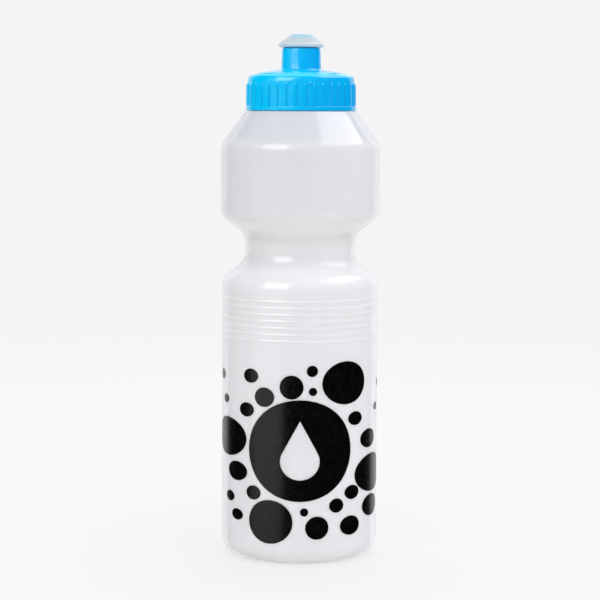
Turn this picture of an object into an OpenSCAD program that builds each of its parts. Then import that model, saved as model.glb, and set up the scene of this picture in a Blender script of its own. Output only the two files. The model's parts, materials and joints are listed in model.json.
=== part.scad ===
// Sports squeeze bottle of about 750 ml: a blow-moulded bottle with a finger waist,
// a screw cap with a spout tower, a sealing ring inside the cap, and a push-pull valve.
// Millimetres, +Z up. The origin is at the centre of the base, on the surface it stands on.
// The cap is drawn screwed down and the valve pushed shut. The front faces -Y.

/* [Bottle] */
// Outer diameter of the lower barrel, the size that bicycle cages hold
barrel_d = 73.5; // [72:0.1:75]
// Outer diameter of the upper bulge
bulge_d = 74.9; // [73:0.1:77]
// Outer diameter at the finger waist
waist_d = 51.6; // [46:0.1:56]
// Height of the shoulder ledge that the cap stops above
shoulder_h = 210.3; // [207:0.1:214]
// Thickness of the blown wall
wall = 1.1; // [0.8:0.1:1.4]
// Radius round the bottom edge
base_corner = 9; // [6:0.5:10]
// How far the middle of the base is pushed up
push_up = 4; // [2:0.5:6]

/* [Grip beads] */
// Number of raised rings round the barrel
bead_count = 7; // [0:1:7]
// Height of the lowest bead
bead_low_z = 105; // [98:0.5:105.5]
// Distance from one bead to the next
bead_pitch = 3.05; // [2.6:0.05:3.1]
// How far a bead stands out of the wall
bead_rise = 0.32; // [0.2:0.02:0.5]

/* [Neck and thread] */
// Outer diameter of the neck between its threads
neck_d = 45.1; // [44.6:0.1:45.2]
// Diameter of the mouth that the bottle is filled through
mouth_d = 41.9; // [41.6:0.1:42.4]
// Height of the neck above the shoulder ledge
neck_h = 13.1; // [12.9:0.1:13.2]
// Rise of the thread in one full turn
thread_lead = 6; // [5.6:0.1:6.4]
// How far each thread stands out of its wall
thread_depth = 1.1; // [0.8:0.1:1.1]

/* [Screw cap] */
// Outer diameter of the cap's skirt between its ribs
skirt_d = 50.4; // [50:0.1:51]
// Inner diameter of the skirt between its threads
skirt_bore_d = 48; // [47.9:0.1:48.2]
// Number of grip ribs
rib_count = 36; // [12:1:48]
// Width of one rib
rib_w = 0.6; // [0.4:0.1:1]
// Outer diameter of the spout tower at its foot
tower_foot_d = 18.8; // [18.4:0.1:19.4]
// Outer diameter of the spout tower at its top
tower_top_d = 18; // [17.4:0.1:18.2]
// Height of the tower's top above the cap's lower edge
tower_h = 29.2; // [28.8:0.1:29.3]

/* [Drinking valve] */
// How far the valve pulls up to open
valve_travel = 6.5; // [4:0.5:6.5]
// Largest diameter of the valve's bite ring
bite_d = 21.3; // [20.6:0.1:22.4]
// Diameter of the drinking hole
hole_d = 6.8; // [6.8:0.1:7.4]
// Diameter of the pin that plugs the drinking hole
pin_d = 6.6; // [6:0.1:6.6]

/* [Hidden] */
$fn = 96;
arc_step = 9;              // degrees between points on a rounded corner

barrel_r = barrel_d / 2;
bulge_r = bulge_d / 2;
waist_r = waist_d / 2;
neck_r = neck_d / 2;
mouth_r = mouth_d / 2;
rim_z = shoulder_h + neck_h;

// Bottle: heights of its bends, measured down from the shoulder ledge
ledge_r = 26;
bulge_top_z = shoulder_h - 15.7;
bulge_low_z = shoulder_h - 49.4;
waist_top_z = shoulder_h - 57.7;
waist_low_z = shoulder_h - 70.2;
barrel_top_z = shoulder_h - 77.9;
foot_in_r = 24;
bead_r = 0.55;

// The bottle's outside from the middle of its base to the top of its neck,
// as [radius, height, corner radius]
bottle_outside = [
    [0, push_up, 0],
    [foot_in_r / 2, push_up, 14],
    [foot_in_r, 0, 3],
    [barrel_r, 0, base_corner],
    [barrel_r, barrel_top_z, 8.5],
    [waist_r, waist_low_z, 8.4],
    [waist_r, waist_top_z, 8.8],
    [bulge_r, bulge_low_z, 5.7],
    [bulge_r, bulge_top_z, 6.5],
    [ledge_r, shoulder_h, 0.8],
    [neck_r, shoulder_h, 0.8],
    [neck_r, rim_z, 0]
];

// Cap: heights above its lower edge
cap_z = shoulder_h + 0.3;
skirt_r = skirt_d / 2;
skirt_bore_r = skirt_bore_d / 2;
cap_rim_r = skirt_r + 0.7;
cap_rim_h = 2;
rib_top_h = 12.3;
rib_out = 0.65;
rib_start = 3.9;           // degrees from +X to the first rib
ceiling_h = 14.4;          // underside of the cap's top, over the sealing ring
shoulder_edge_h = 16.35;
step_r = 20.6;
tower_bore_r = 7;
lip_r = 6.4;               // lip at the top of the tower that keeps the valve in
lip_h = 1.2;
plug_out_r = 20.5;         // lip that hangs inside the bottle's mouth
plug_in_r = 19.3;
plug_h = 3.5;
plate_under_h = 16.9;      // underside of the cap's top, inside the plug lip
keeper_h = 11.9;           // bead that keeps the sealing ring in the cap
keeper_r = 23.15;

// The cap's section, from the inside of its lower edge outward and up, then down inside
cap_outline = [
    [skirt_bore_r, 0, 0],
    [cap_rim_r, 0, 0.5],
    [cap_rim_r, cap_rim_h, 0.4],
    [skirt_r, cap_rim_h, 0],
    [skirt_r - 0.15, shoulder_edge_h - 2.6, 4],
    [skirt_r - 0.6, shoulder_edge_h, 2.2],
    [step_r + 0.3, shoulder_edge_h + 0.4, 0],
    [step_r - 0.3, shoulder_edge_h + 1, 0.3],
    [tower_foot_d / 2, plate_under_h + 2.05, 0.8],
    [tower_top_d / 2, tower_h, 1],
    [lip_r, tower_h, 0.3],
    [lip_r, tower_h - lip_h, 0],
    [tower_bore_r, tower_h - lip_h, 0],
    [tower_bore_r, plate_under_h, 0],
    [plug_in_r, plate_under_h - 0.6, 0],
    [plug_in_r, ceiling_h - plug_h, 0.3],
    [plug_out_r, ceiling_h - plug_h, 0.3],
    [plug_out_r, ceiling_h, 0],
    [skirt_bore_r, ceiling_h, 0],
    [skirt_bore_r, keeper_h + 0.9, 0],
    [keeper_r, keeper_h + 0.45, 0.15],
    [keeper_r, keeper_h, 0.15],
    [skirt_bore_r, keeper_h - 0.7, 0]
];

// Pin and its webs, inside the tower
pin_top_h = 35.4;
pin_neck_r = 2.4;
pin_head_h = 6;
web_count = 3;
web_w = 1.6;
web_h = 2.1;
dimple_r = 1;
mark_turn = 10;            // degrees from the front to the raised lining-up mark
mark_r = 0.6;

// Sealing ring between the bottle's rim and the cap's ceiling
ring_gap = 0.05;
ring_in_r = 20.7;
ring_out_r = 23.4;
ring_low_z = rim_z + ring_gap;
ring_top_z = cap_z + ceiling_h - ring_gap;

// Valve: heights above the cap's lower edge, in the shut position
bite_r = bite_d / 2;
stem_r = 6.3;
stem_bore_r = 4.9;
stem_low_h = 20;
stop_r = 6.85;
stop_h = 1.2;
bite_under_h = tower_h + 0.15;
valve_top_h = bite_under_h + 6.05;
valve_outline = [
    [stem_bore_r, stem_low_h, 0],
    [stop_r, stem_low_h, 0.4],
    [stop_r, stem_low_h + stop_h, 0.3],
    [stem_r, stem_low_h + stop_h + 0.3, 0],
    [stem_r, bite_under_h, 0.5],
    [bite_r, bite_under_h, 1.1],
    [bite_r, bite_under_h + 1.75, 1.1],
    [bite_r - 3.7, bite_under_h + 4.3, 5],
    [4.4, valve_top_h, 0.3],
    [hole_d / 2, valve_top_h, 0.3],
    [hole_d / 2, valve_top_h - 2, 0],
    [stem_bore_r, valve_top_h - 3, 0]
];

// Thread: width of a tooth at its foot and crest, and what is sunk into the wall
tooth_foot_w = 2.2;
tooth_crest_w = 1.1;
tooth_sunk = 0.4;
thread_step = 10;          // degrees from one ring of the sweep to the next
thread_fade = 40;          // degrees over which a thread rises to full depth
neck_thread_z = shoulder_h + 3.1;
neck_thread_turn = 450;
cap_thread_start = 120;
cap_thread_turn = 360;

// Direction from one point of an outline to the next, and the normal to its left
function heading(a, b) = [b[0] - a[0], b[1] - a[1]] / norm([b[0] - a[0], b[1] - a[1]]);
function left_of(d) = [-d[1], d[0]];
function turned(v, a) = [v[0] * cos(a) - v[1] * sin(a), v[0] * sin(a) + v[1] * cos(a)];

// Points of the arc that rounds the corner at b, on the way from a to c
function corner(a, b, c) =
    let (
        d_in = heading(a, b),
        d_out = heading(b, c),
        turn = atan2(cross(d_in, d_out), d_in * d_out),
        start = [b[0], b[1]] - d_in * b[2] * tan(abs(turn) / 2),
        center = start + left_of(d_in) * b[2] * sign(turn),
        steps = max(2, ceil(abs(turn) / arc_step))
    )
    [for (k = [0 : steps]) center + turned(start - center, turn * k / steps)];

// An outline of [radius, height, corner radius] as plain points with its corners rounded
function rounded(path) = [
    for (i = [0 : len(path) - 1])
        each (path[i][2] == 0 ? [[path[i][0], path[i][1]]] : corner(path[i - 1], path[i], path[i + 1]))
];

// The outline t to the left of a path, with each corner radius changed to suit
function inset(path, t) = [
    for (i = [0 : len(path) - 1])
        let (
            n_in = left_of(i == 0 ? heading(path[0], path[1]) : heading(path[i - 1], path[i])),
            n_out = i == len(path) - 1 ? n_in : left_of(heading(path[i], path[i + 1])),
            shift = (n_in + n_out) * t / (1 + n_in * n_out),
            radius = path[i][2] - t * sign(cross(n_in, n_out))
        )
        [path[i][0] + shift[0], path[i][1] + shift[1], path[i][2] == 0 ? 0 : max(radius, 0.2)]
];

function reversed(points) = [for (i = [len(points) - 1 : -1 : 0]) points[i]];

module turned_solid(path) {
    rotate_extrude() polygon(rounded(path));
}

// A helical tooth on a wall of radius root_r: side is 1 on the outside, -1 on the inside
module thread(root_r, side, start_z, start_turn, turn) {
    rings = round(turn / thread_step);
    points = [
        for (k = [0 : rings])
            let (
                along = turn * k / rings,
                a = start_turn + along,
                z = start_z + thread_lead * a / 360,
                grown = min(1, along / thread_fade, (turn - along) / thread_fade),
                foot = root_r - side * tooth_sunk,
                crest = root_r + side * (thread_depth * grown - 0.1 * (1 - grown)),
                tooth = [
                    [foot, -tooth_foot_w / 2],
                    [crest, -tooth_crest_w / 2],
                    [crest, tooth_crest_w / 2],
                    [foot, tooth_foot_w / 2]
                ]
            )
            for (p = tooth) [p[0] * cos(a), p[0] * sin(a), z + side * p[1]]
    ];
    faces = [
        [3, 2, 1, 0],
        [for (j = [0 : 3]) rings * 4 + j],
        for (k = [0 : rings - 1]) for (j = [0 : 3])
            let (a = k * 4 + j, b = k * 4 + (j + 1) % 4)
            each [[a, b, b + 4], [a, b + 4, a + 4]]
    ];
    polyhedron(points, faces);
}

module bottle_body() {
    color([0.88, 0.88, 0.90]) {
        rotate_extrude() polygon(concat(
            rounded(bottle_outside),
            reversed(rounded(inset(bottle_outside, wall)))
        ));
        // Neck wall, thicker than the blown wall
        translate([0, 0, shoulder_h - wall]) difference() {
            cylinder(r = neck_r, h = neck_h + wall);
            translate([0, 0, -1]) cylinder(r = mouth_r, h = neck_h + wall + 2);
        }
        thread(neck_r, 1, neck_thread_z, 0, neck_thread_turn);
        // Grip beads
        for (i = [0 : 1 : bead_count - 1])
            rotate_extrude()
                translate([barrel_r + bead_rise - bead_r, bead_low_z + i * bead_pitch])
                    circle(bead_r, $fn = 24);
    }
}

module screw_cap() {
    color([0.02, 0.72, 0.94]) translate([0, 0, cap_z]) {
        turned_solid(cap_outline);
        grip_ribs();
        pin();
        lining_up_mark();
    }
    color([0.02, 0.72, 0.94])
        thread(skirt_bore_r, -1, neck_thread_z - thread_lead / 2, cap_thread_start, cap_thread_turn);
}

module grip_ribs() {
    for (i = [0 : rib_count - 1])
        rotate(rib_start + i * 360 / rib_count)
            translate([skirt_r - 0.5, -rib_w / 2, cap_rim_h - 0.5])
                cube([rib_out + 0.5, rib_w, rib_top_h - cap_rim_h + 0.5]);
}

// Small raised mark above the ribs that shows where the thread starts
module lining_up_mark() {
    rotate(mark_turn - 90)
        translate([skirt_r - 0.9, 0, rib_top_h + 0.1]) rotate([0, 90, 0]) cylinder(r = mark_r, h = 1.3);
}

// Fixed pin that plugs the drinking hole, on webs that let the drink past
module pin() {
    difference() {
        union() {
            translate([0, 0, plate_under_h]) cylinder(r = pin_neck_r, h = pin_top_h - plate_under_h - 1);
            translate([0, 0, pin_top_h - pin_head_h]) cylinder(r1 = pin_neck_r, r2 = pin_d / 2, h = 2);
            translate([0, 0, pin_top_h - pin_head_h + 2]) cylinder(d = pin_d, h = pin_head_h - 2);
        }
        translate([0, 0, pin_top_h]) sphere(dimple_r, $fn = 24);
    }
    for (i = [0 : web_count - 1])
        rotate(i * 360 / web_count + 90) translate([0, -web_w / 2, plate_under_h])
            cube([tower_bore_r + 0.5, web_w, web_h]);
}

module sealing_ring() {
    color([0.85, 0.86, 0.87]) turned_solid([
        [ring_in_r, ring_low_z, 0],
        [ring_out_r, ring_low_z, 0.3],
        [ring_out_r, ring_top_z, 0.3],
        [ring_in_r, ring_top_z, 0]
    ]);
}

module pull_valve() {
    color([0.80, 0.84, 0.86]) translate([0, 0, cap_z]) turned_solid(valve_outline);
}

bottle_body();
screw_cap();
sealing_ring();
pull_valve();
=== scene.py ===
"""Looks for the sports squeeze bottle: frosted bottle, blue cap, drinking valve, seal and printed dots.

Shapes are worked out in millimetres and become Blender metres in add_piece(). Angles are in
radians round the bottle's axis, from +X, unless a comment says otherwise, and the front faces -Y.
An outline is a list of (radius, height, corner radius), and its solid side is on its left.
"""
import json
import math

import bpy
import numpy as np
from mathutils import Matrix, Vector


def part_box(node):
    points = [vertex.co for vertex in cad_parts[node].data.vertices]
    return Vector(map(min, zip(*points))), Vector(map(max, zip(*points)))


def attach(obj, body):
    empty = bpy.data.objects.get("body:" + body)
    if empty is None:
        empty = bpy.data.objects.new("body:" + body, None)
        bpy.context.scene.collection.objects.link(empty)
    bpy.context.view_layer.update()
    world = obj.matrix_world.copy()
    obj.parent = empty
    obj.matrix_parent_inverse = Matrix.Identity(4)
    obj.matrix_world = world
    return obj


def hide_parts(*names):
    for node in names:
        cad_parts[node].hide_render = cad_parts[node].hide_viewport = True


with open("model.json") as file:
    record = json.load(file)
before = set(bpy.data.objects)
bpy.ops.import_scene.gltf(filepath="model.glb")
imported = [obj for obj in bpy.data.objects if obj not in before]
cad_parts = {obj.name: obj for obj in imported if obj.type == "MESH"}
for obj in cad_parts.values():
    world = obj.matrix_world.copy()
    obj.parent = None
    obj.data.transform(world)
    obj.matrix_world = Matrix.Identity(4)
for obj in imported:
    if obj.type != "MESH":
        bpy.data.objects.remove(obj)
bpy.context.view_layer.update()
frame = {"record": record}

MM = 0.001
FRONT = math.radians(-90)
# Edges that turn more than this many degrees are shaded sharp
SHARP_ANGLE = 35

# ---------------------------------------------------------------- sizes from the frame
mounts = {mount["name"]: mount for mount in frame["record"]["mounts"]}
body_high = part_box("bottle_body")[1] / MM
cap_low, cap_high = (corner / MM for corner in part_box("screw_cap"))
seal_low, seal_high = (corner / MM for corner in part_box("sealing_ring"))
valve_low, valve_high = (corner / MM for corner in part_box("pull_valve"))

barrel_r = mounts["cage_fit"]["dims"]["r_mm"]
bulge_r = body_high.x
rim_z = body_high.z
cap_z = cap_low.z
cap_rim_r = cap_high.x
# The coupling's ratio is how far the cap lifts, in metres, for each radian that it turns
thread_lead = frame["record"]["behaviour"]["couplings"][0]["ratio"] * 2 * math.pi / MM

# ---------------------------------------------------------------- sizes in millimetres
# Bottle: wall, neck with its mouth, the ledge round it, and the base with its push-up
WALL = 1.1
NECK_H = 13.1
NECK_R = 22.55
MOUTH_R = 20.95
LEDGE_R = 26.0
FOOT_R = 24.0
PUSH_UP = 4.0
# Depths below the shoulder ledge of the bulge's two ends, the waist's two ends and the barrel's top
BULGE_TOP = 15.7
BULGE_FOOT = 49.4
WAIST_TOP = 57.7
WAIST_FOOT = 70.2
BARREL_TOP = 77.9
WAIST_R = 25.8
shoulder_z = rim_z - NECK_H
bottle_outside = [
    (0, PUSH_UP, 0),
    (FOOT_R / 2, PUSH_UP, 14),
    (FOOT_R, 0, 3),
    (barrel_r, 0, 9),
    (barrel_r, shoulder_z - BARREL_TOP, 8.5),
    (WAIST_R, shoulder_z - WAIST_FOOT, 8.4),
    (WAIST_R, shoulder_z - WAIST_TOP, 8.8),
    (bulge_r, shoulder_z - BULGE_FOOT, 5.7),
    (bulge_r, shoulder_z - BULGE_TOP, 6.5),
    (LEDGE_R, shoulder_z, 0.8),
    (NECK_R, shoulder_z, 0.8),
    (NECK_R, rim_z, 0.3),
    (NECK_R - 0.3, rim_z, 0),
]

# Grip beads, mould seams, and the pinched-off ridge under the base
BEADS = 7
BEAD_LOW_Z = 105.0
BEAD_PITCH = 3.05
BEAD_RISE = 0.16
BEAD_HALF_W = 0.85
SEAM_RISE = 0.1
SEAM_W = 0.3
PINCH_RISE = 0.35
PINCH_W = 0.8

# Sides, columns and row spacings of the bottle's mesh. Its rows are close together across the beads.
BOTTLE_SIDES = 256
# Degrees from a seam's middle to the columns beside it
SEAM_COLUMNS = [0.25, 0.5, 0.8]
close_low_z = BEAD_LOW_Z - 4
close_high_z = BEAD_LOW_Z + (BEADS - 1) * BEAD_PITCH + 1
WALL_STEP = 2.5
BEAD_STEP = 0.13
NECK_STEP = 0.4
INSIDE_STEP = 6

# Thread teeth on the neck and in the cap. Start, turn and fade are in degrees.
TOOTH_FOOT_W = 2.2
TOOTH_CREST_W = 1.1
TOOTH_DEPTH = 1.1
TOOTH_FADE = 40
thread_low_z = shoulder_z + 3.1
NECK_THREAD = dict(start_z=thread_low_z, start=0, turn=450)
CAP_THREAD = dict(start_z=thread_low_z - thread_lead / 2, start=120, turn=360)

# Cap, with heights above the CAD cap's lower edge. The rim reaches CAP_LOW_H, a little lower.
CAP_RIM_OUT = 0.7
SKIRT_R = cap_rim_r - CAP_RIM_OUT
SKIRT_BORE_R = 24.0
CAP_RIM_H = 2.0
CAP_LOW_H = -0.15
CAP_EDGE_H = 16.35
CEILING_H = 14.4
PLATE_UNDER_H = 16.9
PLATE_T = 2.05
STEP_R = 20.6
TOWER_FOOT_R = 9.4
TOWER_TOP_R = 9.0
TOWER_H = 29.2
TOWER_BORE_R = 7.0
LIP_R = 6.4
LIP_H = 1.2
PLUG_OUT_R = 20.5
PLUG_IN_R = 19.3
PLUG_H = 3.5
KEEPER_H = 11.9
KEEPER_R = 23.15
# Grip ribs, the first of them RIB_START degrees round from +X
RIBS = 36
RIB_W = 0.6
RIB_OUT = 0.65
RIB_TOP_H = 12.3
RIB_START = 3.9
# Degrees from a rib's middle to the mesh's columns beside it, close together on its flanks
RIB_COLUMNS = [-5, -3.4, -2, -1.15, -0.85, -0.6, -0.35, 0, 0.35, 0.6, 0.85, 1.15, 2, 3.4]
CAP_STEP = 2
RIB_STEP = 0.45
cap_outline = [
    (SKIRT_BORE_R + 0.2, CAP_LOW_H, 0),
    (cap_rim_r, CAP_LOW_H, 0.5),
    (cap_rim_r, CAP_RIM_H, 0.4),
    (SKIRT_R, CAP_RIM_H, 0),
    (SKIRT_R - 0.15, CAP_EDGE_H - 2.6, 4),
    (SKIRT_R - 0.6, CAP_EDGE_H, 2.2),
    (STEP_R + 0.3, CAP_EDGE_H + 0.4, 0.3),
    (STEP_R - 0.3, CAP_EDGE_H + 1.0, 0.3),
    (TOWER_FOOT_R, PLATE_UNDER_H + PLATE_T, 0.8),
    (TOWER_TOP_R, TOWER_H, 1.0),
    (LIP_R, TOWER_H, 0.3),
    (LIP_R, TOWER_H - LIP_H, 0.15),
    (TOWER_BORE_R, TOWER_H - LIP_H, 0),
    (TOWER_BORE_R, PLATE_UNDER_H, 0.3),
    (PLUG_IN_R, PLATE_UNDER_H - 0.6, 0.4),
    (PLUG_IN_R, CEILING_H - PLUG_H, 0.3),
    (PLUG_OUT_R, CEILING_H - PLUG_H, 0.3),
    (PLUG_OUT_R, CEILING_H, 0.1),
    (SKIRT_BORE_R, CEILING_H, 0.3),
    (SKIRT_BORE_R, KEEPER_H + 0.9, 0),
    (KEEPER_R, KEEPER_H + 0.45, 0.15),
    (KEEPER_R, KEEPER_H, 0.15),
    (SKIRT_BORE_R, KEEPER_H - 0.7, 0),
    (SKIRT_BORE_R, 0.3, 0),
]

# Pin that plugs the drinking hole, and the webs that hold it
PIN_TOP_H = 35.4
PIN_R = 3.3
PIN_NECK_R = 2.4
PIN_HEAD_H = 6.0
PIN_FLARE_H = 2
DIMPLE_R = 1.3
DIMPLE_DEPTH = 0.9
WEBS = 3
WEB_W = 1.6
WEB_H = 2.1
WEB_IN_R = 0.5
WEB_SINK = 0.3
WEB_INTO_WALL = 0.4
pin_outline = [
    (0, PLATE_UNDER_H, 0),
    (PIN_NECK_R, PLATE_UNDER_H, 0.2),
    (PIN_NECK_R, PIN_TOP_H - PIN_HEAD_H, 1.5),
    (PIN_R, PIN_TOP_H - PIN_HEAD_H + PIN_FLARE_H, 1.5),
    (PIN_R, PIN_TOP_H, 0.35),
    (DIMPLE_R, PIN_TOP_H, 0.2),
    (DIMPLE_R * 0.5, PIN_TOP_H - DIMPLE_DEPTH, 0.4),
    (0, PIN_TOP_H - DIMPLE_DEPTH, 0),
]

# Raised mark above the ribs, MARK_TURN degrees to the right of the front. It is round below its
# middle and MARK_TALL times as tall above it.
MARK_TURN = 10
MARK_H = 12.4
MARK_R = 0.6
MARK_OUT = 0.55
MARK_SINK = 0.05
MARK_TALL = 2.0
MARK_SIDES = 24
MARK_RINGS = 8

# Valve, with heights above the cap's lower edge while it is shut
bite_r = valve_high.x
valve_top_h = valve_high.z - cap_z
stem_low_h = valve_low.z - cap_z
bite_under_h = TOWER_H + 0.15
STEM_R = 6.3
STEM_BORE_R = 4.9
STOP_R = 6.85
STOP_H = 1.2
HOLE_R = 3.4
HOLE_DEPTH = 2
BITE_TOP_R = 4.4
# The bite's straight band, and the corner that its rounded shoulder turns at
BAND_H = 1.75
DOME_IN = 3.7
DOME_UP = 4.3
valve_outline = [
    (STEM_BORE_R, stem_low_h, 0),
    (STOP_R, stem_low_h, 0.4),
    (STOP_R, stem_low_h + STOP_H, 0.3),
    (STEM_R, stem_low_h + STOP_H + 0.3, 0.2),
    (STEM_R, bite_under_h, 0.5),
    (bite_r, bite_under_h, 1.1),
    (bite_r, bite_under_h + BAND_H, 1.1),
    (bite_r - DOME_IN, bite_under_h + DOME_UP, 5),
    (BITE_TOP_R, valve_top_h, 0.3),
    (HOLE_R, valve_top_h, 0.3),
    (HOLE_R, valve_top_h - HOLE_DEPTH, 0.2),
    (STEM_BORE_R, valve_top_h - HOLE_DEPTH - 1, 0.3),
]

# Sealing ring
SEAL_IN_R = 20.7
seal_outline = [
    (SEAL_IN_R, seal_low.z, 0.0),
    (seal_high.x, seal_low.z, 0.3),
    (seal_high.x, seal_high.z, 0.3),
    (SEAL_IN_R, seal_high.z, 0.3),
    (SEAL_IN_R, seal_low.z + 0.3, 0.0),
]

# Print: how far the ink stands out of the wall and reaches into it, the most that a dot is widened,
# and the widest step between the rings of its mesh
INK = 0.05
MOST_SPREAD = 1.6
INK_RING_W = 1.5
# The drop's round end has the radius DROP_R, its middle is DROP_LOWER below the disc's, and the tip
# is DROP_TIP above that middle
DROP_R = 8.6
DROP_TIP = 19.0
DROP_LOWER = 5.0
# The disc and each dot are (degrees to the right of the front, height, radius), and the disc is
# DISC_SPREAD times as wide as it is tall
DISC = (0.5, 54.5, 23.6)
DISC_SPREAD = 1.08
DISC_SIDES = 240
DOTS = [
    (-76.8, 87, 2.4), (-37.8, 88.5, 3.3), (-5.8, 84, 5.5), (9.2, 91.5, 2.6), (9.7, 82, 1.9),
    (35.8, 85.5, 10), (-68.3, 76, 2), (-26.3, 79, 4.5), (-41.8, 72.5, 3.3), (45, 68.5, 3.2),
    (76, 72, 1.9), (61.5, 58, 4.4), (-64.3, 58.5, 9), (-52.3, 43, 4.5), (-35.3, 34, 3.3),
    (-61.3, 30.5, 2.4), (-51.8, 22.5, 2.6), (-21.8, 21, 10.2), (3.7, 26, 1.9), (13.2, 18.5, 5.4),
    (28.2, 28.5, 3.3), (42, 34, 3.3), (40.5, 18.5, 4.5), (66, 26, 5.1), (67, 41.5, 9),
    (85, 83, 1.9),
]


# ---------------------------------------------------------------- outlines and grids
def corner_arc(before, corner, after, step):
    """Points of the arc that rounds a corner, given as (radius, height, corner radius)."""
    into = Vector((corner[0] - before[0], corner[1] - before[1])).normalized()
    out = Vector((after[0] - corner[0], after[1] - corner[1])).normalized()
    turn = math.atan2(into.cross(out), into.dot(out))
    start = Vector(corner[:2]) - into * corner[2] * math.tan(abs(turn) / 2)
    center = start + Vector((-into.y, into.x)) * math.copysign(corner[2], turn)
    count = max(3, math.ceil(abs(turn) / math.radians(step)))
    return [center + Matrix.Rotation(turn * k / count, 2) @ (start - center) for k in range(count + 1)]


def rounded(outline, step=7):
    """An outline's points with its corners rounded, a point every step degrees of arc."""
    points = []
    for i, corner in enumerate(outline):
        if corner[2]:
            points += corner_arc(outline[i - 1], corner, outline[(i + 1) % len(outline)], step)
        else:
            points.append(Vector(corner[:2]))
    return points


def inset(outline, distance):
    """The outline at a distance to its left, with each corner radius changed to suit."""
    normals = []
    for a, b in zip(outline, outline[1:]):
        along = Vector((b[0] - a[0], b[1] - a[1])).normalized()
        normals.append(Vector((-along.y, along.x)))
    moved = []
    for corner, before, after in zip(outline, normals[:1] + normals, normals + normals[-1:]):
        shift = (before + after) * distance / (1 + before.dot(after))
        radius = corner[2] - distance * np.sign(before.cross(after))
        moved.append((corner[0] + shift.x, corner[1] + shift.y, max(radius, 0.2) if corner[2] else 0))
    return moved


def filled(points, spacing):
    """The same points with more between them, so that no step from height z is over spacing(z)."""
    rows = [points[0]]
    for point in points[1:]:
        while (point - rows[-1]).length > spacing(rows[-1].y):
            rows.append(rows[-1] + (point - rows[-1]).normalized() * spacing(rows[-1].y))
        if (point - rows[-1]).length > 1e-4:
            rows.append(point)
    return rows


def even_angles(count):
    """Angles evenly spaced round a whole turn."""
    return np.arange(count) * 2 * math.pi / count


def as_grid(rows, angles):
    """Arrays of radius, height and angle, a row for each outline point and a column for each angle."""
    r, a = np.meshgrid([row[0] for row in rows], angles, indexing="ij")
    z, a = np.meshgrid([row[1] for row in rows], angles, indexing="ij")
    return r, z, a


def round_axis(r, z, a):
    """Points of a grid that is turned about the bottle's axis."""
    return np.stack([r * np.cos(a), r * np.sin(a), z], axis=-1)


def grid_mesh(points, loop):
    """Vertices and faces over a grid of points that closes along its rows.

    A row whose points all coincide becomes a single vertex. With loop, the last row joins the first.
    """
    vertices, index = [], []
    for row in points:
        single = np.ptp(row, axis=0).max() < 1e-9
        index.append(len(vertices) + (np.zeros(len(row), int) if single else np.arange(len(row))))
        vertices += row[:1].tolist() if single else row.tolist()
    faces = []
    for lower, upper in zip(index, index[1:] + (index[:1] if loop else [])):
        for quad in zip(lower, np.roll(lower, -1), np.roll(upper, -1), upper):
            faces.append([int(i) for i in dict.fromkeys(quad)])
    return vertices, faces


def joined(parts):
    """Several (vertices, faces) pairs as one."""
    vertices, faces = [], []
    for part_vertices, part_faces in parts:
        faces += [[i + len(vertices) for i in face] for face in part_faces]
        vertices += part_vertices
    return vertices, faces


def smooth(t):
    """Rises from 0 to 1 with level ends as t goes from 0 to 1."""
    t = np.clip(t, 0, 1)
    return t * t * (3 - 2 * t)


# ---------------------------------------------------------------- surface relief
def wall_relief(a, z):
    """How far the blown wall stands out of its outline: gentle unevenness and two mould seams.

    The unevenness is three slow waves, 0.07 mm together at most.
    """
    waves = 0.035 * np.sin(2 * a + 0.7 + 0.9 * np.sin(z / 23)) + 0.02 * np.sin(3 * a - z / 17 + 1.9)
    waves += 0.015 * np.sin(5 * a + z / 9) * np.sin(z / 31)
    from_seam = np.abs(np.sin(a)) * barrel_r
    return waves + SEAM_RISE * np.exp(-(from_seam / SEAM_W) ** 2)


def bead_relief(z):
    """Height of the grip beads."""
    from_bead = np.full_like(z, BEAD_HALF_W)
    for i in range(BEADS):
        from_bead = np.minimum(from_bead, np.abs(z - BEAD_LOW_Z - i * BEAD_PITCH))
    return BEAD_RISE * smooth(1 - from_bead / BEAD_HALF_W)


def thread_relief(a, z, start_z, start, turn):
    """Height of a helical thread tooth, which runs for turn degrees from start, at each point."""
    relief = np.zeros_like(z)
    for lap in range(math.ceil(turn / 360)):
        along = (np.degrees(a) - start) % 360 + 360 * lap
        middle = start_z + thread_lead * (start + along) / 360
        grown = np.clip(np.minimum(along, turn - along) / TOOTH_FADE, 0, 1)
        flank = (TOOTH_FOOT_W / 2 - np.abs(z - middle)) / (TOOTH_FOOT_W - TOOTH_CREST_W) * 2
        relief = np.maximum(relief, TOOTH_DEPTH * smooth(flank) * grown)
    return relief


def rib_relief(a, h):
    """Height of the cap's grip ribs at a height above its lower edge."""
    pitch = 2 * math.pi / RIBS
    past_rib = (a - math.radians(RIB_START)) / pitch % 1
    from_rib = np.minimum(past_rib, 1 - past_rib) * pitch * SKIRT_R
    across = smooth((RIB_W * 0.75 - from_rib) / (RIB_W * 0.45))
    return RIB_OUT * across * smooth((RIB_TOP_H + 0.2 - h) / 0.4)


# ---------------------------------------------------------------- pieces
def add_piece(name, mesh, material, body, node=None):
    """A finished piece of millimetre vertices and faces, riding on a CAD body."""
    vertices, faces = mesh
    data = bpy.data.meshes.new(name)
    data.from_pydata([(x * MM, y * MM, z * MM) for x, y, z in vertices], [], faces)
    data.materials.append(material)
    data.shade_smooth()
    data.set_sharp_from_angle(angle=math.radians(SHARP_ANGLE))
    piece = bpy.data.objects.new(name, data)
    bpy.context.scene.collection.objects.link(piece)
    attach(piece, body)
    if node:
        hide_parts(node)
    return piece


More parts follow.
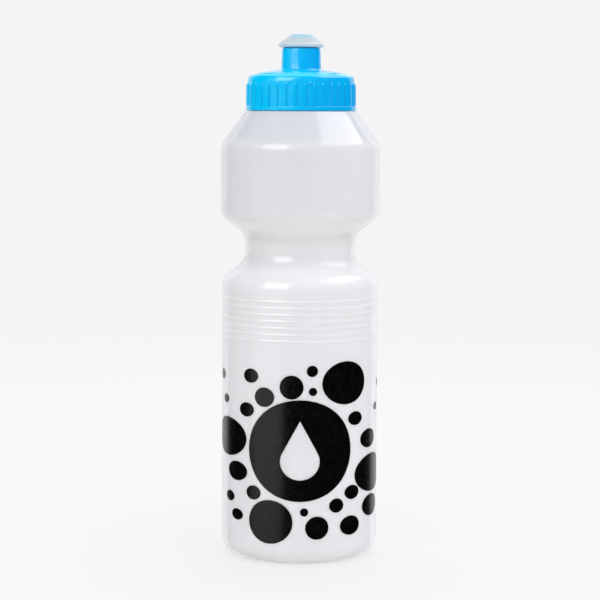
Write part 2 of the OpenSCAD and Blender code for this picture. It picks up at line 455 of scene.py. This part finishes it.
def bottle_mesh():
    """The blown bottle: a thin wall with beads, seams, thread and a pinched-off base."""
    beside_seam = np.radians(SEAM_COLUMNS)
    near_seams = np.concatenate([s + side * beside_seam for s in (0, math.pi) for side in (-1, 1)])
    angles = np.sort(np.concatenate([even_angles(BOTTLE_SIDES), near_seams % (2 * math.pi)]))

    def spacing(z):
        """The distance from a row of the outside to the next."""
        if z > shoulder_z + 1:
            return NECK_STEP
        if close_low_z < z < close_high_z:
            return BEAD_STEP
        return WALL_STEP

    outside = filled(rounded(bottle_outside), spacing)
    r, z, a = as_grid(outside, angles)
    on_neck = (z > shoulder_z + 0.5) & (r > NECK_R - 0.1)
    on_wall = smooth((r - NECK_R - 1) / 2) * smooth((z - 1) / 8)
    r = r + on_wall * (wall_relief(a, z) + bead_relief(z))
    r = r + on_neck * thread_relief(a, z, **NECK_THREAD)
    from_pinch = np.abs(r * np.sin(a))
    on_base = smooth((FOOT_R - 2 - r) / 3) * (z < PUSH_UP + 1)
    z = z - on_base * PINCH_RISE * smooth((PINCH_W - from_pinch) / PINCH_W)
    outer = round_axis(r, z, a)

    inner_outline = inset(bottle_outside[:-2], WALL)
    inner_outline[-1] = (MOUTH_R, shoulder_z - WALL, 0.8)
    inner_outline += [(MOUTH_R, rim_z, 0.3), (MOUTH_R + 0.3, rim_z, 0)]
    inside = filled(rounded(inner_outline, step=12), lambda z: INSIDE_STEP)
    inner = round_axis(*as_grid(inside[::-1], angles))
    return grid_mesh(np.concatenate([outer, inner]), loop=False)


def cap_mesh():
    """The cap's shell with its grip ribs, its thread and the tower."""
    ribs = [RIB_START + i * 360 / RIBS for i in range(RIBS)]
    angles = np.radians([rib + beside for rib in ribs for beside in RIB_COLUMNS])
    rows = filled(rounded(cap_outline, step=12), lambda h: RIB_STEP if h < RIB_TOP_H + 1 else CAP_STEP)
    r, h, a = as_grid(rows, angles)
    on_skirt = (r < SKIRT_R + 0.2) & (r > SKIRT_BORE_R + 0.5) & (h > CAP_RIM_H + 0.01)
    in_bore = (np.abs(r - SKIRT_BORE_R) < 0.05) & (h > 0.4)
    r = r + on_skirt * rib_relief(a, h)
    r = r - in_bore * thread_relief(a, h + cap_z, **CAP_THREAD)
    return grid_mesh(round_axis(r, h + cap_z, a), loop=True)


def turned_mesh(outline, lift, count, loop, step=8, spacing=1.5):
    """A plain body of revolution, lift above the outline's heights."""
    rows = filled(rounded(outline, step), lambda z: spacing)
    r, z, a = as_grid(rows, even_angles(count))
    return grid_mesh(round_axis(r, z + lift, a), loop)


def web_mesh(turn):
    """One web from the pin's foot to the tower's wall, with a rounded top edge."""
    half = WEB_W / 2
    top = PLATE_UNDER_H + WEB_H
    section = [(-half, PLATE_UNDER_H - WEB_SINK), (half, PLATE_UNDER_H - WEB_SINK)]
    for swing in np.linspace(0, math.pi, 9):
        section.append((half * math.cos(swing), top - half + half * math.sin(swing)))
    out_r = TOWER_BORE_R + WEB_INTO_WALL
    # The section at each distance from the axis, with a size of 0 to close the two ends
    along = [(WEB_IN_R, 0), (WEB_IN_R, 1), (2.5, 1), (5.0, 1), (out_r, 1), (out_r, 0)]
    middle_h = PLATE_UNDER_H + WEB_H / 2
    rows = []
    for x, size in along:
        rows.append([(x, y * size, cap_z + middle_h + (h - middle_h) * size) for y, h in section])
    points = np.array(rows) @ np.array(Matrix.Rotation(turn, 3, "Z").transposed())
    return grid_mesh(points, loop=False)


def mark_mesh():
    """A raised teardrop on the skirt, just above the ribs."""
    swing = even_angles(MARK_SIDES)
    tall = np.where(swing < math.pi, MARK_TALL, 1)
    rows = [np.zeros((MARK_SIDES, 3)) - (0, 0, MARK_SINK)]
    for bend in np.linspace(0, math.pi / 2, MARK_RINGS + 1):
        reach = MARK_R * math.cos(bend)
        out = np.full(MARK_SIDES, MARK_OUT * math.sin(bend) - MARK_SINK)
        rows.append(np.stack([reach * np.cos(swing), reach * np.sin(swing) * tall, out], axis=-1))
    across, up, out = np.moveaxis(np.array(rows), -1, 0)
    turn = FRONT + math.radians(MARK_TURN)
    points = round_axis(SKIRT_R + out, cap_z + MARK_H + up, turn + across / SKIRT_R)
    return grid_mesh(points, loop=False)


def ink_patch(turn, height, outer, inner, spread):
    """A thin patch of ink on the barrel between two curves about its middle, as radii by angle.

    The middle is turn degrees to the right of the front. The patch is stretched spread times round
    the barrel.
    """
    swing = even_angles(len(outer))
    rings = max(2, math.ceil((outer - inner).max() / INK_RING_W))
    shares = np.linspace(0, 1, rings + 1)
    levels = [(share, -INK) for share in shares] + [(share, INK) for share in shares[::-1]]
    rows = []
    for share, rise in levels:
        reach = inner + (outer - inner) * share
        a = FRONT + math.radians(turn) + reach * np.cos(swing) * spread / barrel_r
        z = height + reach * np.sin(swing)
        rows.append(round_axis(barrel_r + wall_relief(a, z) + rise, z, a))
    return grid_mesh(np.array(rows), loop=inner.max() > 0)


def dot_patch(turn, height, radius, spread):
    """A dot of ink, round where its spread is 1."""
    count = 4 * max(10, math.ceil(radius * 2))
    return ink_patch(turn, height, np.full(count, radius), np.zeros(count), spread)


def print_mesh():
    """All the ink, on the front and again on the back: dots, and a disc with a water drop left clear."""
    disc_turn, disc_height, disc_r = DISC
    swing = even_angles(DISC_SIDES)
    # The disc's edge and the drop's, as distances from the middle of the drop's round end. The drop
    # is a circle and the two lines from its tip that touch it.
    disc = DROP_LOWER * np.sin(swing) + np.sqrt(disc_r**2 - (DROP_LOWER * np.cos(swing)) ** 2)
    tangent = math.acos(DROP_R / DROP_TIP)
    from_tip = np.abs((swing - math.pi / 2 + math.pi) % (2 * math.pi) - math.pi)
    drop = np.where(from_tip < tangent, DROP_R / np.cos(tangent - from_tip), DROP_R)
    parts = []
    for side in (0, 180):
        parts.append(ink_patch(side + disc_turn, disc_height - DROP_LOWER, disc, drop, DISC_SPREAD))
        for turn, height, radius in DOTS:
            spread = min(1 / math.cos(math.radians(turn)), MOST_SPREAD)
            parts.append(dot_patch(side + turn, height, radius, spread))
    return joined(parts)


# ---------------------------------------------------------------- materials
NOISE_LOW = 0.3
NOISE_HIGH = 0.7

# The wall's tones by height, with shade and light painted into them. A real wall lets light through,
# so the bulge and the cone look greyer than the rest. This one is milky all through, so its colour
# carries that as painted shade: darker on the bulge, and darker and bluer on the cone as painted shade
# from the cap with a painted blue cast from it. The waist is lighter, as painted light against the
# shade in its hollow.
BARREL_TONE = (0.93, 0.95, 1.0)
WAIST_PAINTED_LIGHT = (1.0, 1.0, 1.0)
BULGE_PAINTED_SHADE = (0.815, 0.808, 0.828)
CONE_PAINTED_SHADE_AND_BLUE_CAST = (0.7, 0.713, 0.745)
wall_tones_with_painted_shade = [
    (0, BARREL_TONE),
    (shoulder_z - 82, BARREL_TONE),
    (shoulder_z - 74, WAIST_PAINTED_LIGHT),
    (shoulder_z - 54, WAIST_PAINTED_LIGHT),
    (shoulder_z - 46, BULGE_PAINTED_SHADE),
    (shoulder_z - 18, BULGE_PAINTED_SHADE),
    (shoulder_z - 12, CONE_PAINTED_SHADE_AND_BLUE_CAST),
    (shoulder_z, CONE_PAINTED_SHADE_AND_BLUE_CAST),
    (shoulder_z + 2, BARREL_TONE),
    (rim_z, BARREL_TONE),
]

# The valve's tones: grey with a painted cyan cast from the blue cap, lighter and greyer underneath,
# and a rim painted blue for the blue pin showing through it
TIP_UNDER_TONE = (0.56, 0.61, 0.62)
TIP_TONE_WITH_PAINTED_CAST = (0.49, 0.59, 0.62)
TIP_RIM_PAINTED_PIN_BLUE = (0.35, 0.62, 0.76)
tip_tones_with_painted_tints = [
    (cap_z + bite_under_h, TIP_UNDER_TONE),
    (valve_high.z - 1.3, TIP_TONE_WITH_PAINTED_CAST),
    (valve_high.z - 0.9, TIP_RIM_PAINTED_PIN_BLUE),
    (valve_high.z, TIP_RIM_PAINTED_PIN_BLUE),
]


def new_material(name):
    """A material with nodes, its tree and its shader."""
    material = bpy.data.materials.new(name)
    material.use_nodes = True
    return material, material.node_tree, material.node_tree.nodes["Principled BSDF"]


def noise(tree, scale, detail=2.0, stretch=(1, 1, 1)):
    """A noise pattern in the frame's own metres: scale is in grains a metre."""
    coords = tree.nodes.new("ShaderNodeTexCoord")
    mapping = tree.nodes.new("ShaderNodeMapping")
    mapping.inputs["Scale"].default_value = stretch
    pattern = tree.nodes.new("ShaderNodeTexNoise")
    pattern.inputs["Scale"].default_value = scale
    pattern.inputs["Detail"].default_value = detail
    tree.links.new(coords.outputs["Object"], mapping.inputs["Vector"])
    tree.links.new(mapping.outputs["Vector"], pattern.inputs["Vector"])
    return pattern.outputs["Fac"]


def ranged(tree, value, low, high):
    """A noise pattern, most of which is between NOISE_LOW and NOISE_HIGH, spread over low to high."""
    node = tree.nodes.new("ShaderNodeMapRange")
    node.inputs["From Min"].default_value = NOISE_LOW
    node.inputs["From Max"].default_value = NOISE_HIGH
    node.inputs["To Min"].default_value = low
    node.inputs["To Max"].default_value = high
    tree.links.new(value, node.inputs["Value"])
    return node.outputs["Result"]


def mixed(tree, value, first, second):
    """A colour between two by a pattern."""
    node = tree.nodes.new("ShaderNodeMix")
    node.data_type = "RGBA"
    node.inputs["A"].default_value = (*first, 1)
    node.inputs["B"].default_value = (*second, 1)
    tree.links.new(ranged(tree, value, 0, 1), node.inputs["Factor"])
    return node.outputs["Result"]


def bumped(tree, shader, layers):
    """Adds bump from (pattern, depth in millimetres) layers to a shader."""
    normal = None
    for pattern, depth in layers:
        bump = tree.nodes.new("ShaderNodeBump")
        bump.inputs["Distance"].default_value = depth * MM
        tree.links.new(pattern, bump.inputs["Height"])
        if normal:
            tree.links.new(normal, bump.inputs["Normal"])
        normal = bump.outputs["Normal"]
    tree.links.new(normal, shader.inputs["Normal"])


def by_height(tree, tones):
    """A colour that blends between (height in millimetres, colour) steps."""
    low, high = tones[0][0], tones[-1][0]
    coords = tree.nodes.new("ShaderNodeTexCoord")
    split = tree.nodes.new("ShaderNodeSeparateXYZ")
    tree.links.new(coords.outputs["Object"], split.inputs["Vector"])
    share = tree.nodes.new("ShaderNodeMapRange")
    share.inputs["From Min"].default_value = low * MM
    share.inputs["From Max"].default_value = high * MM
    tree.links.new(split.outputs["Z"], share.inputs["Value"])
    ramp = tree.nodes.new("ShaderNodeValToRGB")
    tree.links.new(share.outputs["Result"], ramp.inputs["Fac"])
    steps = ramp.color_ramp.elements
    while len(steps) < len(tones):
        steps.new(0.5)
    # Every position is set before any colour, so that each colour goes to the step that ends up there
    for step, (height, colour) in zip(steps, tones):
        step.position = (height - low) / (high - low)
    for step, (height, colour) in zip(steps, tones):
        step.color = (*colour, 1)
    return ramp.outputs["Color"]


def frosted_plastic(name, tones, cloud, rough, waves):
    """Milky polyethylene that spreads light inside, with a faint mould grain and cloudy patches.

    The patches darken it to the share cloud, rough is its lowest and highest roughness, and waves is
    the depth of its shallow waves in millimetres. Its colour goes by height through tones, which hold
    painted shade, painted light and painted tints from the blue parts.
    """
    material, tree, shader = new_material(name)
    shader.inputs["IOR"].default_value = 1.5
    shader.inputs["Subsurface Weight"].default_value = 1.0
    shader.inputs["Subsurface Scale"].default_value = 3 * MM
    shader.inputs["Subsurface Radius"].default_value = (1, 1, 1)
    clouds = mixed(tree, noise(tree, 45, 3, (1, 1, 0.35)), (1, 1, 1), (cloud, cloud, cloud))
    tone = tree.nodes.new("ShaderNodeMix")
    tone.data_type = "RGBA"
    tone.blend_type = "MULTIPLY"
    tone.inputs["Factor"].default_value = 1.0
    tree.links.new(by_height(tree, tones), tone.inputs["A"])
    tree.links.new(clouds, tone.inputs["B"])
    tree.links.new(tone.outputs["Result"], shader.inputs["Base Color"])
    tree.links.new(ranged(tree, noise(tree, 90, 3), *rough), shader.inputs["Roughness"])
    bumped(tree, shader, [(noise(tree, 2600, 2), 0.01), (noise(tree, 160, 2), waves)])
    return material


def blue_plastic(name):
    """Moulded sky blue polypropylene: even colour, faint flow marks and a fine grain."""
    material, tree, shader = new_material(name)
    flow = mixed(tree, noise(tree, 60, 3, (1, 1, 0.4)), (0.0, 0.41, 0.80), (0.0, 0.38, 0.77))
    tree.links.new(flow, shader.inputs["Base Color"])
    tree.links.new(ranged(tree, noise(tree, 220, 3), 0.09, 0.14), shader.inputs["Roughness"])
    bumped(tree, shader, [(noise(tree, 3200, 2), 0.02), (noise(tree, 240, 2), 0.08)])
    return material


def black_ink(name):
    """Screen-printed ink: a near-black gloss film with slight orange peel."""
    material, tree, shader = new_material(name)
    tone = mixed(tree, noise(tree, 300, 3), (0.001, 0.001, 0.001), (0.003, 0.003, 0.003))
    tree.links.new(tone, shader.inputs["Base Color"])
    tree.links.new(ranged(tree, noise(tree, 500, 3), 0.18, 0.30), shader.inputs["Roughness"])
    bumped(tree, shader, [(noise(tree, 1800, 2), 0.02)])
    return material


def seal_rubber(name):
    """Soft pale elastomer with a matt, dusty skin."""
    material, tree, shader = new_material(name)
    tone = mixed(tree, noise(tree, 200, 3), (0.60, 0.61, 0.63), (0.52, 0.53, 0.55))
    tree.links.new(tone, shader.inputs["Base Color"])
    tree.links.new(ranged(tree, noise(tree, 700, 3), 0.55, 0.75), shader.inputs["Roughness"])
    bumped(tree, shader, [(noise(tree, 2200, 2), 0.04)])
    return material


# ---------------------------------------------------------------- build the pieces
frosted = frosted_plastic("frosted_bottle", wall_tones_with_painted_shade, cloud=0.97, rough=(0.10, 0.16), waves=0.06)
frosted_tip = frosted_plastic("frosted_valve", tip_tones_with_painted_tints, cloud=0.94, rough=(0.30, 0.42), waves=0.04)
blue = blue_plastic("blue_cap")
ink = black_ink("black_print")
rubber = seal_rubber("seal_rubber")

add_piece("bottle_shell", bottle_mesh(), frosted, "bottle", "bottle_body")
add_piece("printed_dots", print_mesh(), ink, "bottle")
add_piece("cap_shell", cap_mesh(), blue, "cap", "screw_cap")
pin_parts = [turned_mesh(pin_outline, cap_z, count=64, loop=False)]
pin_parts += [web_mesh(math.radians(90 + i * 360 / WEBS)) for i in range(WEBS)]
add_piece("centre_pin", joined(pin_parts), blue, "cap")
add_piece("cap_mark", mark_mesh(), blue, "cap")
valve_mesh = turned_mesh(valve_outline, cap_z, count=160, loop=True, spacing=0.8)
add_piece("drinking_valve", valve_mesh, frosted_tip, "valve", "pull_valve")
seal_mesh = turned_mesh(seal_outline, 0, count=128, loop=True, spacing=0.8)
add_piece("seal_ring", seal_mesh, rubber, "seal", "sealing_ring")

# ---------------------------------------------------------------- studio
# Distances here are in metres. The backdrop that the camera sees is PALE, and the floor is the same
# from FLOOR_FAR outwards. Up to FLOOR_NEAR it is grey paper that also glows, so shadows stay faint.
PALE = 0.905
FLOOR_R = 40.0
FLOOR_NEAR = 0.3
FLOOR_FAR = 1.2
FLOOR_TONE = (0.25, 0.25, 0.25)
FLOOR_GLOW = 0.615
# Even light from all round, dimmed to these shares at the far left and the far right
FILL = 1.68
FILL_LEFT = 0.43
FILL_RIGHT = 0.68
FILL_COLOUR = (0.975, 0.98, 1.02, 1)
# Gloss sees a bright patch behind the bottle instead, which fades in as a direction's Y goes from
# BACKDROP_FROM to BACKDROP_TO
BACKDROP = 0.86
BACKDROP_FROM = 0.64
BACKDROP_TO = 0.70

# The lens and sensor are in millimetres
LENS = 128.3
SENSOR = 36.0
CAMERA_AT = Vector((0, -1.0095, 0.2149))
CAMERA_AIM = Vector((0, 0, 0.121))
CAMERA_ROLL = math.radians(0.3)
LAMP_AIM = Vector((0, 0, 0.15))


def add_camera():
    """A long lens in front of the bottle and a little above its shoulder."""
    data = bpy.data.cameras.new("camera")
    data.lens = LENS
    data.sensor_width = SENSOR
    data.clip_start = 0.05
    camera = bpy.data.objects.new("camera", data)
    bpy.context.scene.collection.objects.link(camera)
    look = (CAMERA_AIM - CAMERA_AT).to_track_quat("-Z", "Y").to_matrix().to_4x4()
    camera.matrix_world = Matrix.Translation(CAMERA_AT) @ look @ Matrix.Rotation(CAMERA_ROLL, 4, "Z")
    bpy.context.scene.camera = camera
    bpy.context.scene.view_settings.view_transform = "Standard"


def floor_paper(name):
    """Pale studio paper near the bottle, which goes over into the backdrop's even light further out."""
    material, tree, shader = new_material(name)
    tone = mixed(tree, noise(tree, 3, 2), FLOOR_TONE, [t * 1.01 for t in FLOOR_TONE])
    tree.links.new(tone, shader.inputs["Base Color"])
    shader.inputs["Roughness"].default_value = 0.9
    shader.inputs["Specular IOR Level"].default_value = 0.0
    shader.inputs["Emission Color"].default_value = (1, 1, 1, 1)
    shader.inputs["Emission Strength"].default_value = FLOOR_GLOW
    far = tree.nodes.new("ShaderNodeEmission")
    far.inputs["Color"].default_value = (PALE, PALE, PALE, 1)
    coords = tree.nodes.new("ShaderNodeTexCoord")
    distance = tree.nodes.new("ShaderNodeVectorMath")
    distance.operation = "LENGTH"
    tree.links.new(coords.outputs["Object"], distance.inputs[0])
    fade = tree.nodes.new("ShaderNodeMapRange")
    fade.interpolation_type = "SMOOTHSTEP"
    fade.inputs["From Min"].default_value = FLOOR_NEAR
    fade.inputs["From Max"].default_value = FLOOR_FAR
    tree.links.new(distance.outputs["Value"], fade.inputs["Value"])
    mix = tree.nodes.new("ShaderNodeMixShader")
    tree.links.new(fade.outputs["Result"], mix.inputs["Fac"])
    tree.links.new(shader.outputs["BSDF"], mix.inputs[1])
    tree.links.new(far.outputs["Emission"], mix.inputs[2])
    tree.links.new(mix.outputs["Shader"], tree.nodes["Material Output"].inputs["Surface"])
    return material


def add_floor():
    """A wide round floor, which reflections don't see."""
    bpy.ops.mesh.primitive_circle_add(vertices=128, radius=FLOOR_R, fill_type="NGON")
    floor = bpy.context.object
    floor.name = "studio_floor"
    floor.data.materials.append(floor_paper("floor_paper"))
    floor.visible_glossy = False


def add_softbox(name, azimuth, elevation, distance, size, radiance, pieces=(), gloss=True, diffuse=True):
    """A rectangular lamp facing the bottle, azimuth degrees to the right of the camera and elevation up.

    Its distance, and its size as (width, height), are in metres. With pieces it lights only those.
    Without gloss it isn't seen in reflections, and without diffuse it lights no matt surface.
    """
    width, tall = size
    data = bpy.data.lights.new(name, "AREA")
    data.shape = "RECTANGLE"
    data.size = width
    data.size_y = tall
    data.energy = radiance * math.pi * width * tall
    lamp = bpy.data.objects.new(name, data)
    turn = FRONT + math.radians(azimuth)
    rise = math.radians(elevation)
    away = Vector((math.cos(rise) * math.cos(turn), math.cos(rise) * math.sin(turn), math.sin(rise)))
    lamp.location = LAMP_AIM + away * distance
    lamp.rotation_euler = away.to_track_quat("Z", "Y").to_euler()
    bpy.context.scene.collection.objects.link(lamp)
    lamp.visible_glossy = gloss
    lamp.visible_diffuse = diffuse
    if pieces:
        only = bpy.data.collections.new(name + "_only")
        for piece in pieces:
            only.objects.link(piece)
        lamp.light_linking.receiver_collection = only
    return lamp


def dimmed_to_side(tree, across, side, middle, edge):
    """A strength that goes from middle to edge as a direction's X, across, goes from 0 to side."""
    node = tree.nodes.new("ShaderNodeMapRange")
    node.inputs["From Max"].default_value = side
    node.inputs["To Min"].default_value = middle
    node.inputs["To Max"].default_value = edge
    tree.links.new(across, node.inputs["Value"])
    return node.outputs["Result"]


def add_world():
    """Even pale light all round, which gloss sees only behind the bottle, as between black flags."""
    world = bpy.data.worlds.new("studio")
    world.use_nodes = True
    world.cycles.sampling_method = "NONE"
    bpy.context.scene.world = world
    tree = world.node_tree
    background = tree.nodes["Background"]
    coords = tree.nodes.new("ShaderNodeTexCoord")
    split = tree.nodes.new("ShaderNodeSeparateXYZ")
    tree.links.new(coords.outputs["Generated"], split.inputs["Vector"])
    backdrop = tree.nodes.new("ShaderNodeMapRange")
    backdrop.interpolation_type = "SMOOTHSTEP"
    backdrop.inputs["From Min"].default_value = BACKDROP_FROM
    backdrop.inputs["From Max"].default_value = BACKDROP_TO
    backdrop.inputs["To Max"].default_value = BACKDROP
    tree.links.new(split.outputs["Y"], backdrop.inputs["Value"])
    dimmed = tree.nodes.new("ShaderNodeMath")
    dimmed.operation = "MULTIPLY"
    across = split.outputs["X"]
    tree.links.new(dimmed_to_side(tree, across, -1, 1, FILL_LEFT), dimmed.inputs[0])
    tree.links.new(dimmed_to_side(tree, across, 1, FILL, FILL * FILL_RIGHT), dimmed.inputs[1])
    path = tree.nodes.new("ShaderNodeLightPath")
    fill = tree.nodes.new("ShaderNodeMix")
    tree.links.new(dimmed.outputs["Value"], fill.inputs["A"])
    fill.inputs["B"].default_value = PALE
    tree.links.new(path.outputs["Is Camera Ray"], fill.inputs["Factor"])
    strength = tree.nodes.new("ShaderNodeMix")
    tree.links.new(path.outputs["Is Glossy Ray"], strength.inputs["Factor"])
    tree.links.new(fill.outputs["Result"], strength.inputs["A"])
    tree.links.new(backdrop.outputs["Result"], strength.inputs["B"])
    tree.links.new(strength.outputs["Result"], background.inputs["Strength"])
    colour = tree.nodes.new("ShaderNodeMix")
    colour.data_type = "RGBA"
    colour.inputs["A"].default_value = FILL_COLOUR
    colour.inputs["B"].default_value = (1, 1, 1, 1)
    tree.links.new(path.outputs["Is Camera Ray"], colour.inputs["Factor"])
    tree.links.new(colour.outputs["Result"], background.inputs["Color"])


add_camera()
add_floor()
cap_pieces = [bpy.data.objects[name] for name in ("cap_shell", "centre_pin", "cap_mark")]
# Highlights on every piece
add_softbox("high_left_softbox", -37, 28, 1.4, (0.95, 0.9), 4.8, diffuse=False)
add_softbox("mid_left_softbox", -45, 15, 1.4, (1.2, 0.45), 0.65, diffuse=False)
add_softbox("low_left_softbox", -50, -10, 1.4, (1.3, 0.45), 0.9, diffuse=False)
add_softbox("right_softbox", 92, 52, 1.4, (1.5, 0.9), 3.0, diffuse=False)
# A warm key on the cap's left, and light on its top and back edges
cap_key = add_softbox("cap_key", -65, 20, 1.4, (1.0, 1.0), 3.5, cap_pieces, gloss=False)
cap_key.data.color = (1.0, 0.9, 0.4)
add_softbox("cap_top", 180, 75, 1.2, (1.2, 1.0), 2.0, cap_pieces)
add_softbox("cap_edge", 150, 28, 1.4, (1.2, 0.5), 1.0, cap_pieces)
add_world()

bpy.context.view_layer.update()
